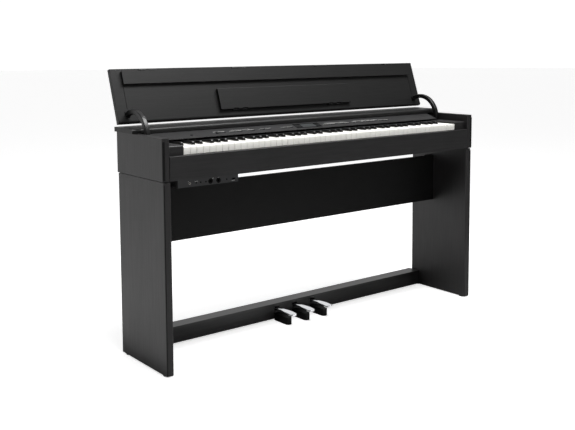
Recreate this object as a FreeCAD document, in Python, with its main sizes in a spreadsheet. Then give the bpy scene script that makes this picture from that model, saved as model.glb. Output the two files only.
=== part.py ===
import FreeCAD, Part
import os
import re
import Sketcher

# A slim 88-key digital piano on its own stand, in millimetres.
# +X runs along the keyboard to the player's right, +Y to the back and +Z up. The origin is on
# the floor, in the middle of the piano's bounding box. Places along Y are counted from the
# cabinet's front face and places along Z from the floor. Everything on the lid is drawn as it
# lies when the lid is shut, counted from the lid's pivot, and its seat then swings it open.

SIZES = {
    # cabinet
    "width": 1387.0,
    "cabinet_depth": 290.0,
    "cabinet_top": 730.0,
    "cabinet_bottom": 600.0,
    "side_board": 25.0,
    "bottom_board": 15.0,
    "front_board": 15.0,
    "slip_drop": 56.0,
    "back_board": 12.0,
    "edge_round": 4.0,
    "small_round": 1.2,
    "rear_top_depth": 120.0,
    "rear_top_board": 15.0,
    "rear_overhang": 16.0,
    "nose_round": 9.0,
    "well_width": 28.5,
    "well_wall": 3.0,
    # stand
    "leg_board": 25.0,
    "leg_inset": 3.0,
    "shadow_gap": 2.5,
    "shadow_depth": 8.0,
    "glide_height": 4.0,
    "glide_radius": 11.2,
    "glide_inset": 25.0,
    "panel_setback": 174.0,
    "panel_board": 15.0,
    "panel_bottom": 374.0,
    "panel_top": 556.0,
    "bracket_width": 34.0,
    "bracket_sheet": 2.5,
    "bracket_past": 3.0,
    "screw_head": 4.2,
    "screw_shank": 2.0,
    "screw_reach": 12.0,
    "rail_setback": 249.0,
    "rail_depth": 55.0,
    "rail_bottom": 5.0,
    "rail_top": 61.0,
    "rail_board": 8.0,
    "rail_front_board": 12.0,
    # pedals
    "pedal_pitch": 84.0,
    "pedal_neck": 19.0,
    "pedal_width": 27.0,
    "pedal_tip": 139.0,
    "pedal_low": 41.0,
    "pedal_thick": 7.0,
    "pedal_pin": 3.0,
    "pedal_boss": 5.2,
    "pedal_pin_setback": 286.0,
    "slot_below": 7.0,
    "slot_above": 1.5,
    "pin_clearance": 0.05,
    "support_width": 25.0,
    "support_height": 26.0,
    "support_reach": 79.0,
    "spring_radius": 5.0,
    "spring_wire": 1.1,
    # keyboard
    "key_pitch": 23.5,
    "key_gap": 1.0,
    "key_front": 16.0,
    "white_drop": 33.0,
    "white_lip": 22.0,
    "white_thick": 13.0,
    "black_setback": 50.0,
    "black_rise": 10.3,
    "black_foot": 12.0,
    "black_head": 9.4,
    "slot_width": 14.0,
    "key_tail": 94.0,
    "key_dip": 10.0,
    "cheek_clearance": 1.5,
    "cheek_rise": 7.0,
    "cheek_round": 4.5,
    # control panel
    "panel_depth": 50.0,
    "panel_lip": 1.8,
    "panel_sheet": 3.0,
    "panel_slope": 18.7,
    "button_gap": 0.3,
    "button_rise": 1.0,
    "row_middle": 21.0,
    "cap_depth": 4.0,
    "power_x": 496.0,
    "power_radius": 4.5,
    "slider_x": 398.0,
    "slider_travel": 30.0,
    "slider_knob": 8.0,
    "slider_foot": 3.0,
    "display_left": 66.0,
    "display_right": 50.0,
    "display_low": 9.0,
    "display_high": 45.0,
    "display_sunk": 1.6,
    "display_proud": 0.2,
    # lid, arms, flap and music rest
    "lid_open_angle": 108.94,
    "pivot_setback": 52.0,
    "pivot_drop": 19.0,
    "lid_gap": 0.3,
    "lid_thickness": 15.0,
    "lid_rear_gap": 2.5,
    "lid_front_gap": 0.5,
    "lid_strip": 8.5,
    "arm_radius": 92.5,
    "arm_thick": 16.0,
    "arm_width": 16.0,
    "arm_clearance": 3.5,
    "arm_round": 3.5,
    "arm_foot": 10.0,
    "arm_end_angle": 294.0,
    "hub_radius": 10.5,
    "hinge_pin": 4.0,
    "flap_width": 1312.0,
    "flap_height": 45.0,
    "flap_thick": 8.7,
    "flap_axis": 6.5,
    "knuckle_radius": 3.2,
    "wire_radius": 1.5,
    "rest_width": 604.0,
    "rest_height": 75.0,
    "rest_thick": 10.5,
    "rest_setback": 25.0,
    # sockets and sound
    "jack_box_left": 643.0,
    "jack_box_right": 423.0,
    "jack_box_drop": 23.0,
    "jack_box_depth": 60.0,
    "jack_wall": 2.0,
    "jack_bore": 3.25,
    "jack_barrel": 5.0,
    "jack_reach": 23.0,
    "small_jack": 601.0,
    "small_bore": 1.8,
    "small_barrel": 3.4,
    "small_reach": 13.0,
    "usb_x": 440.5,
    "usb_wide": 15.0,
    "usb_high": 7.2,
    "usb_sheet": 1.1,
    "usb_depth": 18.0,
    "inlet_x": 560.0,
    "inlet_z": 655.0,
    "inlet_wide": 30.0,
    "inlet_high": 22.0,
    "inlet_wall": 3.0,
    "inlet_rim": 2.0,
    "speaker_radius": 46.0,
    "speaker_spread": 430.0,
    "speaker_y": 130.0,
    "speaker_rim": 6.0,
    "grille_slot": 4.0,
    "grille_span": 60.0,
    "circuit_width": 340.0,
    "circuit_low": 640.0,
    "circuit_high": 700.0,
    "circuit_sheet": 1.6,
    "circuit_post": 12.0,
}

# places worked out from the sizes above
PLACES = {
    "half": "width / 2",
    "side_in": "half - side_board",
    "leg_in": "half - leg_inset - leg_board",
    "slip_top": "cabinet_top - slip_drop",
    "floor_top": "cabinet_bottom + bottom_board",
    "back_in": "cabinet_depth - back_board",
    "rear_top_front": "cabinet_depth + rear_overhang - rear_top_depth",
    "rear_top_back": "cabinet_depth + rear_overhang",
    "panel_half": "side_in - well_width",
    "pivot_y": "rear_top_front + pivot_setback",
    "pivot_z": "cabinet_top - pivot_drop",
    "lid_face": "pivot_drop + lid_gap",
    "lid_back": "lid_face + lid_thickness",
    "lid_tail": "-(pivot_setback + lid_rear_gap)",
    "lid_nose": "-(pivot_y - lid_front_gap)",
    "reach": "pivot_y + lid_nose * cos(lid_open_angle) + lid_back * sin(lid_open_angle)",
    "front_y": "-(reach / 2)",
    "keys_half": "26 * key_pitch",
    "white_top": "cabinet_top - white_drop",
    "white_low": "white_top - white_thick",
    "black_top": "white_top + black_rise",
    "panel_front": "rear_top_front - panel_depth",
    "lip_low": "black_top + 0.7",
    "lip_top": "lip_low + panel_lip",
    "panel_back_z": "lip_top + panel_depth * tan(panel_slope)",
    "key_pivot": "panel_front + key_tail",
    "key_end": "key_pivot + 6",
    "arm_mid": "side_in - arm_clearance - arm_width / 2",
    "arm_front": "pivot_y - arm_radius",
    "cheek_back": "arm_front - 3",
    "pin_z": "pedal_low + pedal_thick / 2",
    "flap_axis_y": "-(pivot_y - flap_axis)",
    "flap_axis_z": "lid_face - 5",
    "rest_axis_y": "lid_tail - rest_setback",
    "rest_axis_z": "lid_face - 4.3",
}

doc = FreeCAD.newDocument("DigitalPiano")
X_AXIS = FreeCAD.Vector(1, 0, 0)
TURNS = {
    "x": FreeCAD.Rotation(FreeCAD.Vector(0, 1, 0), 90),
    "y": FreeCAD.Rotation(X_AXIS, -90),
    "z": FreeCAD.Rotation(),
}


def fill_sheet():
    """Write the driving sizes to a spreadsheet, one named cell each."""
    sheet = doc.addObject("Spreadsheet::Sheet", "Sizes")
    for row, (alias, value) in enumerate(SIZES.items(), start=1):
        sheet.set(f"A{row}", alias)
        sheet.set(f"B{row}", str(value))
        sheet.setAlias(f"B{row}", alias)
    doc.recompute()
    return sheet


def formula(text):
    """Write a size or place out in terms of the sheet's cells."""

    def swap(match):
        word = match.group(0)
        if word in PLACES:
            return "(" + formula(PLACES[word]) + ")"
        if word in SIZES:
            return "Sizes." + word
        return word

    return re.sub(r"[A-Za-z_][A-Za-z_0-9]*", swap, str(text))


def bind(item, **values):
    """Tie properties of an object to formulas."""
    for name, text in values.items():
        item.setExpression(name, formula(text))


def put(item, x=0, y=0, z=0, axis="z", tilt=None):
    """Place an object at a point, lying along an axis or tilted about X."""
    item.Placement = FreeCAD.Placement(FreeCAD.Vector(), TURNS[axis])
    if tilt is not None:
        item.Placement = FreeCAD.Placement(FreeCAD.Vector(), FreeCAD.Rotation(X_AXIS, 1))
        item.setExpression("Placement.Rotation.Angle", formula(tilt))
    for name, text in (("x", x), ("y", y), ("z", z)):
        item.setExpression("Placement.Base." + name, formula(text))
    return item


def seat(item, where):
    """Move a finished piece from its drawing place to where it sits in the piano."""
    if where == "lid":
        put(item, 0, "front_y + pivot_y", "pivot_z", tilt="-lid_open_angle")
    elif where == "panel":
        put(item, 0, "front_y + panel_front", "lip_top", tilt="panel_slope")
    else:
        put(item, 0, "front_y", 0)
    return item


def box(x0, x1, y0, y1, z0, z1, name="box"):
    """A block between two corners."""
    item = doc.addObject("Part::Box", name)
    bind(item, Length=f"({x1}) - ({x0})", Width=f"({y1}) - ({y0})", Height=f"({z1}) - ({z0})")
    return put(item, x0, y0, z0)


def rod(axis, radius, length, x, y, z, name="rod"):
    """A cylinder that starts at a point and runs along an axis."""
    item = doc.addObject("Part::Cylinder", name)
    bind(item, Radius=radius, Height=length)
    return put(item, x, y, z, axis)


def cone(axis, radius1, radius2, length, x, y, z):
    """A cone's frustum that starts at a point and runs along an axis."""
    item = doc.addObject("Part::Cone", "cone")
    bind(item, Radius1=radius1, Radius2=radius2, Height=length)
    return put(item, x, y, z, axis)


def fuse(*parts, name="joined"):
    """One solid from several."""
    item = doc.addObject("Part::MultiFuse", name)
    item.Shapes = list(parts)
    item.Refine = True
    return item


def group(*parts, name="group"):
    """Several separate solids that share one node."""
    item = doc.addObject("Part::Compound", name)
    item.Links = list(parts)
    return item


def cut(base, *tools, name="cut"):
    """A solid with others taken out of it."""
    item = doc.addObject("Part::Cut", name)
    item.Base = base
    item.Tool = tools[0] if len(tools) == 1 else group(*tools, name="tools")
    item.Refine = True
    return item


def common(first, second, name="common"):
    """What two solids share."""
    item = doc.addObject("Part::MultiCommon", name)
    item.Shapes = [first, second]
    return item


def outline(body, role, points, start):
    """A closed outline on one of the body's own planes, each corner tied to formulas."""
    planes = {feature.Role: feature for feature in body.Origin.OriginFeatures}
    sketch = body.newObject("Sketcher::SketchObject", "Outline")
    sketch.AttachmentSupport = [(planes[role], "")]
    sketch.MapMode = "FlatFace"
    sketch.setExpression("AttachmentOffset.Base.z", formula(start))
    count = len(points)
    ring = [FreeCAD.Rotation(FreeCAD.Vector(0, 0, 1), 360 * i / count) for i in range(count)]
    rough = [turn.multVec(FreeCAD.Vector(50, 0, 0)) for turn in ring]
    for i in range(count):
        sketch.addGeometry(Part.LineSegment(rough[i], rough[(i + 1) % count]), False)
    for i in range(count):
        sketch.addConstraint(Sketcher.Constraint("Coincident", i, 2, (i + 1) % count, 1))
    for i, corner in enumerate(points):
        for kind, text in zip(("DistanceX", "DistanceY"), corner):
            place = sketch.addConstraint(Sketcher.Constraint(kind, -1, 1, i, 1, 1.0))
            sketch.setExpression(f"Constraints[{place}]", formula(text))
    return sketch


def pad(label, role, points, start, length):
    """A body made by padding one outline."""
    body = doc.addObject("PartDesign::Body", label)
    sketch = outline(body, role, points, start)
    feature = body.newObject("PartDesign::Pad", "Pad")
    feature.Profile = sketch
    bind(feature, Length=length)
    doc.recompute()
    return body


def rectangle(u0, u1, v0, v1):
    """The corners of an upright rectangle."""
    return [(u0, v0), (u1, v0), (u1, v1), (u0, v1)]


def board(label, x0, x1, y0, y1, z0, z1):
    """A flat board as a padded rectangle."""
    return pad(label, "XY_Plane", rectangle(x0, x1, y0, y1), z0, f"({z1}) - ({z0})")


def span(edge):
    """An edge's size along X, Y and Z, and its middle."""
    bounds = edge.BoundBox
    return (bounds.XLength, bounds.YLength, bounds.ZLength), bounds.Center


def pick(body, along, test):
    """The body's straight edges along one axis whose middle passes a test."""
    found = []
    where = "xyz".index(along)
    bounds = body.Shape.BoundBox
    for number, edge in enumerate(body.Shape.Edges, start=1):
        sizes, middle = span(edge)
        others = [size for i, size in enumerate(sizes) if i != where]
        if sizes[where] > 1 and max(others) < 1e-4 and test(middle, bounds):
            found.append(f"Edge{number}")
    return found


def dress(body, kind, edges, size):
    """Round or chamfer some of a body's edges."""
    base = body.Tip
    feature = body.newObject("PartDesign::" + kind, kind)
    feature.Base = (base, edges)
    bind(feature, **{"Radius" if kind == "Fillet" else "Size": size})
    doc.recompute()
    return body


def near(value, target):
    """Whether two places are the same."""
    return abs(value - target) < 1e-3


def at_front(middle, bounds):
    """An edge on a board's front face."""
    return near(middle.y, bounds.YMin)


def across(side, inner, outer):
    """The lower and the higher X of a piece on one side."""
    if side < 0:
        return f"-({outer})", f"-({inner})"
    return f"{inner}", f"{outer}"


def around(middle, size, grow="0"):
    """The two ends of a span about its middle, grown at both ends."""
    return f"{middle} - {size} / 2 - {grow}", f"{middle} + {size} / 2 + {grow}"


SIDE_NAMES = {-1: "left", 1: "right"}
nodes = {}


def keep(label, item, where="cabinet"):
    """Name a finished piece and seat it."""
    item.Label = label
    nodes[label] = seat(item, where)


# ---------------------------------------------------------------- stand


def make_leg(side):
    """A leg board with rounded front edges and a shadow gap under the cabinet."""
    x0, x1 = across(side, "leg_in", "half - leg_inset")
    leg = board(f"leg_{side + 1}", x0, x1, 1, "cabinet_depth - 1", "glide_height", "cabinet_bottom")
    dress(leg, "Fillet", pick(leg, "z", at_front), "edge_round")
    low, high = "cabinet_bottom - shadow_gap", "cabinet_bottom + 1"
    outside = across(side, "half - leg_inset - shadow_depth", "half")
    gaps = [box(*outside, 0, "cabinet_depth", low, high),
            box(f"{x0} - 1", f"{x1} + 1", 0, "1 + shadow_depth", low, high)]
    keep(f"leg_{SIDE_NAMES[side]}", cut(leg, fuse(*gaps)))


def make_glides():
    """Four round glides under the legs."""
    middle = "half - leg_inset - leg_board / 2"
    glides = []
    for side in (-1, 1):
        for place in ("glide_inset", "cabinet_depth - glide_inset"):
            x = f"{side} * ({middle})"
            glides.append(rod("z", "glide_radius", "glide_height", x, place, 0))
    keep("leg_glides", group(*glides))


def screw_places():
    """Heights of the screws that hold the rear panel's brackets."""
    return ["panel_bottom + 30", "(panel_bottom + panel_top) / 2", "panel_top - 30"]


def make_rear_panel():
    """The wide board between the legs, its two angle brackets and their screws."""
    back = "panel_setback + panel_board"
    keep("rear_panel", board("rear_panel_body", "-leg_in", "leg_in", "panel_setback", back,
                             "panel_bottom", "panel_top"))
    brackets = []
    screws = []
    low, high = "panel_bottom - bracket_past", "panel_top + bracket_past"
    for side in (-1, 1):
        on_panel = across(side, "leg_in - bracket_width", "leg_in")
        on_leg = across(side, "leg_in - bracket_sheet", "leg_in")
        plate = box(*on_panel, back, f"{back} + bracket_sheet", low, high)
        wing = box(*on_leg, back, f"{back} + bracket_width", low, high)
        holes = []
        for height in screw_places():
            x = f"{side} * (leg_in - bracket_width * 0.6)"
            start = f"{back} - screw_reach"
            shank = rod("y", "screw_shank", "screw_reach + bracket_sheet", x, start, height)
            head = rod("y", "screw_head", 2, x, f"{back} + bracket_sheet", height)
            screws.append(fuse(shank, head))
            holes.append(rod("y", "screw_shank", 20, x, f"{back} - 8", height))
        brackets.append(cut(fuse(plate, wing), *holes))
    keep("panel_brackets", group(*brackets))
    keep("bracket_screws", group(*screws))


PEDALS = {"left": -1, "middle": 0, "right": 1}


def pedal_x(place):
    """The middle of a pedal."""
    return f"{place} * pedal_pitch"


def make_pedal_rail():
    """The hollow rail between the legs: a slotted front, a top and a back."""
    back = "rail_setback + rail_depth"
    under = "rail_top - rail_board"
    front = box("-leg_in", "leg_in", "rail_setback", "rail_setback + rail_front_board",
                "rail_bottom", under)
    slots = []
    for place in PEDALS.values():
        x = pedal_x(place)
        low = "pedal_low - slot_below"
        slots.append(box(f"{x} - pedal_neck / 2 - 2", f"{x} + pedal_neck / 2 + 2",
                         "rail_setback - 1", "rail_setback + rail_front_board + 1", low,
                         "pedal_low + pedal_thick + slot_above"))
    keep("pedal_rail_front", cut(front, *slots))
    top = board("rail_top_body", "-leg_in", "leg_in", "rail_setback", back, under, "rail_top")
    dress(top, "Fillet", pick(top, "x", lambda m, b: near(m.z, b.ZMax)), "small_round")
    keep("pedal_rail_top", top)
    keep("pedal_rail_back", board("rail_back_body", "-leg_in", "leg_in", f"{back} - rail_board",
                                  back, "rail_bottom", under))


def make_pedal(name, place):
    """A pedal lever: a narrow neck that widens to a rounded tip, on a bored boss."""
    x = pedal_x(place)
    neck, wide = "pedal_neck / 2", "pedal_width / 2"
    tail = "pedal_pin_setback + 2"
    points = [
        (f"{x} - {neck}", tail), (f"{x} - {neck}", "pedal_tip + 88"),
        (f"{x} - {wide}", "pedal_tip + 50"), (f"{x} - {wide}", "pedal_tip"),
        (f"{x} + {wide}", "pedal_tip"), (f"{x} + {wide}", "pedal_tip + 50"),
        (f"{x} + {neck}", "pedal_tip + 88"), (f"{x} + {neck}", tail),
    ]
    lever = pad(f"lever_{name}", "XY_Plane", points, "pedal_low", "pedal_thick")
    dress(lever, "Fillet", pick(lever, "z", at_front), "pedal_width * 0.4")
    top = [f"Edge{n}" for n, edge in enumerate(lever.Shape.Edges, start=1)
           if near(edge.BoundBox.ZMin, lever.Shape.BoundBox.ZMax)]
    dress(lever, "Fillet", top, 2)
    width = "pedal_neck"
    start = f"{x} - {neck}"
    boss = rod("x", "pedal_boss", width, start, "pedal_pin_setback", "pin_z")
    bore = rod("x", "pedal_pin + pin_clearance", f"{width} + 2", f"{start} - 1",
               "pedal_pin_setback", "pin_z")
    keep(f"pedal_{name}", cut(fuse(lever, boss), bore))


def make_pedal_mounts():
    """The bracket and the pin that each pedal turns on, and the spring under it."""
    mounts = []
    pins = []
    springs = []
    back = "rail_setback + rail_depth - rail_board"
    for place in PEDALS.values():
        x = pedal_x(place)
        inner = "pedal_neck / 2 + 1"
        outer = f"{inner} + 3"
        cheeks = []
        for side in (-1, 1):
            x0, x1 = across(side, inner, outer)
            cheeks.append(box(f"{x} + {x0}", f"{x} + {x1}", "pedal_pin_setback - 8", back,
                              "rail_bottom + 3", "rail_top - rail_board"))
        seat_plate = box(f"{x} - ({outer})", f"{x} + {outer}", "rail_setback + rail_front_board",
                         back, "rail_bottom + 3", "rail_bottom + 6")
        hole = rod("x", "pedal_pin", 60, f"{x} - 30", "pedal_pin_setback", "pin_z")
        mounts.append(cut(fuse(*cheeks, seat_plate), hole))
        pins.append(rod("x", "pedal_pin", f"2 * ({outer})", f"{x} - ({outer})",
                        "pedal_pin_setback", "pin_z"))
        springs.append(make_spring(x))
    keep("pedal_mounts", group(*mounts))
    keep("pedal_pins", group(*pins))
    keep("pedal_springs", group(*springs))


def make_spring(x):
    """A coil spring from the bracket's seat to the lever, as rings joined by a thin post."""
    low = "rail_bottom + 6"
    height = f"pedal_low - ({low}) - 0.1"
    y = "pedal_pin_setback - 15.5"
    turns = 6
    rings = []
    for i in range(turns):
        ring = doc.addObject("Part::Torus", "coil")
        bind(ring, Radius1="spring_radius - spring_wire", Radius2="spring_wire")
        z = f"{low} + spring_wire + ({height} - 2 * spring_wire) * {i} / {turns - 1}"
        rings.append(put(ring, x, y, z))
    post = rod("z", "spring_wire", height, f"{x} - spring_radius + spring_wire", y, low)
    return fuse(*rings, post)


def make_pedal_supports():
    """The fixed feet that reach forward from the rail to the floor under the pedals."""
    supports = []
    for place in PEDALS.values():
        x = pedal_x(place)
        middle = "rail_setback - support_reach + support_width / 2"
        toe = rod("z", "support_width / 2", "support_height", x, middle, 0)
        beam = box(*around(x, "support_width"), middle, "rail_setback", 0, "support_height")
        supports.append(fuse(toe, beam))
    keep("pedal_supports", group(*supports))


# ---------------------------------------------------------------- cabinet


def make_side(side):
    """A side board of the cabinet."""
    x0, x1 = across(side, "side_in", "half")
    item = board(f"side_{side + 1}", x0, x1, 0, "cabinet_depth", "cabinet_bottom", "cabinet_top")
    dress(item, "Fillet", pick(item, "z", at_front), "edge_round")
    keep(f"side_{SIDE_NAMES[side]}", item)


def make_bottom_board():
    """The board under the keys, with a round hole for each speaker."""
    base = box("-side_in", "side_in", "front_board", "back_in", "cabinet_bottom", "floor_top")
    holes = [rod("z", "speaker_radius", 40, f"{side} * speaker_spread", "speaker_y",
                 "cabinet_bottom - 10") for side in (-1, 1)]
    keep("bottom_board", cut(base, *holes))


def make_front_board():
    """The slip in front of the keys."""
    item = board("slip", "-side_in", "side_in", 0, "front_board", "cabinet_bottom", "slip_top")
    dress(item, "Fillet", pick(item, "x", lambda m, b: near(m.z, b.ZMax)), "small_round")
    keep("front_board", item)


def make_back_board():
    """The back of the cabinet, with the power inlet set into it."""
    x = around("-inlet_x", "inlet_wide")
    z = around("inlet_z", "inlet_high")
    base = box("-side_in", "side_in", "back_in", "cabinet_depth", "cabinet_bottom", "cabinet_top")
    keep("back_board", cut(base, box(*x, "back_in - 1", "cabinet_depth + 1", *z)))
    shell = box(*x, "back_in - 10", "cabinet_depth + 1", *z)
    rim = box(*around("-inlet_x", "inlet_wide", "inlet_wall"), "cabinet_depth",
              "cabinet_depth + inlet_rim", *around("inlet_z", "inlet_high", "inlet_wall"))
    mouth = box(*around("-inlet_x", "inlet_wide", "-inlet_wall"), "back_in - 6",
                "cabinet_depth + 3", *around("inlet_z", "inlet_high", "-inlet_wall"))
    blades = []
    for shift in (-5, 5):
        blades.append(box(*around(f"{shift} - inlet_x", 2), "back_in - 8", "cabinet_depth - 4",
                          *around("inlet_z", 5)))
    keep("power_inlet", fuse(cut(fuse(shell, rim), mouth), *blades))


def make_rear_top():
    """The fixed top behind the lid: a full-width board with a round nose over the panel."""
    top = board("rear_top_board_body", "-half", "half", "rear_top_front", "rear_top_back",
                "cabinet_top", "cabinet_top + rear_top_board")
    dress(top, "Fillet",
          pick(top, "x", lambda m, b: near(m.z, b.ZMax) and near(m.y, b.YMin)), "nose_round")
    dress(top, "Fillet",
          pick(top, "x", lambda m, b: near(m.z, b.ZMax) and near(m.y, b.YMax)), "small_round")
    lip = board("rear_top_lip", "-panel_half", "panel_half", "rear_top_front",
                "rear_top_front + 14", "panel_back_z", "cabinet_top")
    dress(lip, "Fillet",
          pick(lip, "x", lambda m, b: near(m.z, b.ZMin) and near(m.y, b.YMin)), "small_round * 2")
    keep("rear_top", fuse(top, lip))


def make_well_walls():
    """The walls between the keyboard and the wells that the lid's arms swing in."""
    walls = []
    for side in (-1, 1):
        x = across(side, "panel_half - well_wall", "panel_half")
        walls.append(box(*x, "cheek_back + 1", "back_in", "floor_top", "lip_low"))
    keep("well_walls", group(*walls))


def make_cheeks():
    """The blocks at the keyboard's ends."""
    cheeks = []
    for side in (-1, 1):
        x0, x1 = across(side, "keys_half + cheek_clearance", "side_in")
        item = board(f"cheek_{side + 1}", x0, x1, "front_board", "cheek_back", "floor_top",
                     "white_top + cheek_rise")
        dress(item, "Fillet", pick(item, "x", lambda m, b: near(m.z, b.ZMax) and near(m.y, b.YMin)),
              "cheek_round")
        cheeks.append(item)
    keep("cheek_blocks", group(*cheeks))


# ---------------------------------------------------------------- control panel

# buttons as (left, right) along X, in the four clusters that share a body
BUTTONS = {
    "tone_buttons": [(-345, -325), (-318, -298), (-270, -246)],
    "play_buttons": [(-222, -202), (-195, -176), (-128, -108), (-101, -81)],
    "song_buttons": [(66, 90), (97, 121), (143, 163), (170, 190)],
    "function_buttons": [(206, 226), (246, 266), (274, 294), (302, 322), (342, 362), (370, 390)],
}


def panel_cap(x0, x1):
    """A button's cap and stem, drawn on the panel's own slope."""
    y0, y1 = around("row_middle", "cap_depth")
    return box(x0, x1, y0, y1, "-(panel_sheet + 2)", "button_rise")


def panel_hole(x0, x1, deep):
    """A hole through the panel for a cap or the slider's foot, a little larger all round."""
    y0, y1 = around("row_middle", deep, "button_gap")
    return box(f"{x0} - button_gap", f"{x1} + button_gap", y0, y1, "-4 * panel_sheet",
               "3 * panel_sheet")


def display_block(top):
    """The display's window, or the pocket it lies in."""
    return box("-display_left", "display_right", "display_low", "display_high", "-display_sunk",
               top)


def make_control_panel():
    """The sloping panel, with openings for the buttons, the slider and the display."""
    points = [
        ("panel_front", "lip_low"), ("panel_front", "lip_top"),
        ("rear_top_front", "panel_back_z"), ("rear_top_front + 14", "panel_back_z"),
        ("rear_top_front + 14", "panel_back_z - panel_sheet"),
        ("rear_top_front + 0.5", "panel_back_z - panel_sheet"),
        ("panel_front + 13.5", "lip_top + 13.5 * tan(panel_slope) - panel_sheet * 1.06"),
        ("panel_front + 13.5", "lip_low"),
    ]
    plate = pad("panel_plate", "YZ_Plane", points, "-panel_half", "2 * panel_half")
    dress(plate, "Fillet",
          pick(plate, "x", lambda m, b: near(m.y, b.YMin) and m.z > b.ZMin + 1), "small_round / 2")
    openings = []
    for caps in BUTTONS.values():
        for x0, x1 in caps:
            openings.append(panel_hole(x0, x1, "cap_depth"))
    openings.append(rod("z", "power_radius + button_gap", 30, "-power_x", "row_middle", -15))
    openings.append(panel_hole("-slider_x - slider_knob / 2",
                               "slider_travel - slider_x + slider_knob / 2", "slider_foot"))
    openings.append(display_block("2 * panel_sheet"))
    tools = group(*openings, name="panel_openings")
    put(tools, 0, "panel_front", "lip_top", tilt="panel_slope")
    keep("control_panel", cut(plate, tools))
    keep("display_window", group(display_block("display_proud")), "panel")


def make_buttons():
    """The power button, the volume slider and the four clusters of flat buttons."""
    low = "-(panel_sheet + 2)"
    power = rod("z", "power_radius", "panel_sheet + 2 + button_rise", "-power_x", "row_middle", low)
    keep("power_button", group(power), "panel")
    knob = box(*around("-slider_x", "slider_knob"), *around("row_middle", "slider_knob"),
               "button_gap", "panel_sheet")
    foot = box(*around("-slider_x", "slider_foot * 2"), *around("row_middle", "slider_foot"),
               low, "button_gap + 0.1")
    keep("volume_slider", fuse(knob, foot), "panel")
    for label, caps in BUTTONS.items():
        keep(label, group(*[panel_cap(x0, x1) for x0, x1 in caps]), "panel")


# ---------------------------------------------------------------- keyboard

WHITE_KEYS = 52
GROUP_KEYS = 13
FIRST_LETTER = 5
# black keys stand after these letters (C is 0), each a little off the joint between its whites
BLACK_OFFSETS = {0: -2.4, 1: 2.4, 3: -3.2, 4: 0.0, 5: 3.2}


def black_keys():
    """Each black key as the white key before it and its middle along X."""
    found = []
    for number in range(WHITE_KEYS - 1):
        letter = (number + FIRST_LETTER) % 7
        if letter in BLACK_OFFSETS:
            joint = number + 1 - WHITE_KEYS // 2
            found.append((number, f"{joint} * key_pitch + {BLACK_OFFSETS[letter]}"))
    return found


def make_white_group(number):
    """Thirteen white keys, cut from one long moulding by the gaps and the black keys' slots."""
    first = number * GROUP_KEYS
    last = first + GROUP_KEYS
    left = f"{first - WHITE_KEYS // 2} * key_pitch + key_gap / 2"
    right = f"{last - WHITE_KEYS // 2} * key_pitch - key_gap / 2"
    points = [
        ("key_front", "white_top - white_lip"), ("key_front + 9", "white_top - white_lip"),
        ("key_front + 9", "white_low"), ("key_end", "white_low"), ("key_end", "white_top"),
        ("key_front", "white_top"),
    ]
    strip = pad(f"white_strip_{number}", "YZ_Plane", points, left, f"({right}) - ({left})")
    dress(strip, "Fillet", pick(strip, "x", lambda m, b: near(m.z, b.ZMax) and near(m.y, b.YMin)),
          "small_round * 1.3")
    tools = []
    for joint in range(first + 1, last):
        middle = f"{joint - WHITE_KEYS // 2} * key_pitch"
        tools.append(box(f"{middle} - key_gap / 2", f"{middle} + key_gap / 2", "key_front - 5",
                         "key_end + 5", "white_top - white_lip - 5", "white_top + 5"))
    for before, middle in black_keys():
        if first - 1 <= before < last:
            tools.append(box(f"{middle} - slot_width / 2", f"{middle} + slot_width / 2",
                             "key_front + black_setback - 1", "key_end + 5",
                             "white_low - 5", "white_top + 5"))
    keep(f"white_keys_{number + 1}", cut(strip, fuse(*tools)))


def make_black_key(middle):
    """One black key: sloping front and sides, with its tail falling away under the panel."""
    key = doc.addObject("Part::Wedge", "black_key")
    bind(key, Xmin=f"({middle}) - black_foot / 2", Xmax=f"({middle}) + black_foot / 2",
         X2min=f"({middle}) - black_head / 2", X2max=f"({middle}) + black_head / 2",
         Ymin=0, Ymax="black_rise + white_thick",
         Zmin="-key_end", Zmax="-(key_front + black_setback)",
         Z2min="-(panel_front + 14)", Z2max="-(key_front + black_setback + 7)")
    key.Placement = FreeCAD.Placement(FreeCAD.Vector(), FreeCAD.Rotation(X_AXIS, 90))
    key.setExpression("Placement.Base.z", formula("white_low"))
    return key


def make_keyboard():
    """The keys in four groups of whites and four of blacks, on their frame."""
    for number in range(WHITE_KEYS // GROUP_KEYS):
        make_white_group(number)
        first = number * GROUP_KEYS
        blacks = [middle for before, middle in black_keys() if first <= before < first + GROUP_KEYS]
        keep(f"black_keys_{number + 1}", group(*[make_black_key(middle) for middle in blacks]))
    outer = box("-keys_half", "keys_half", "key_front + 4", "key_end + 4", "floor_top",
                "white_top - 41")
    inner = box("-keys_half + 6", "keys_half - 6", "key_front + 10", "key_end - 2",
                "floor_top - 1", "white_top - 45")
    front_rail = box("-keys_half", "keys_half", "key_front + 4", "key_front + 40",
                     "white_top - 41", "white_top - 36")
    pivot_rail = box("-keys_half", "keys_half", "key_pivot - 3", "key_end + 4", "white_top - 41",
                     "white_low - 0.3")
    keep("key_frame", fuse(cut(outer, inner), front_rail, pivot_rail))
    felt_top = "white_top - white_lip - key_dip - 0.4"
    keep("key_felt", board("felt", "-keys_half", "keys_half", "key_front + 6", "key_front + 38",
                           "white_top - 36", felt_top))


# ---------------------------------------------------------------- lid


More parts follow.
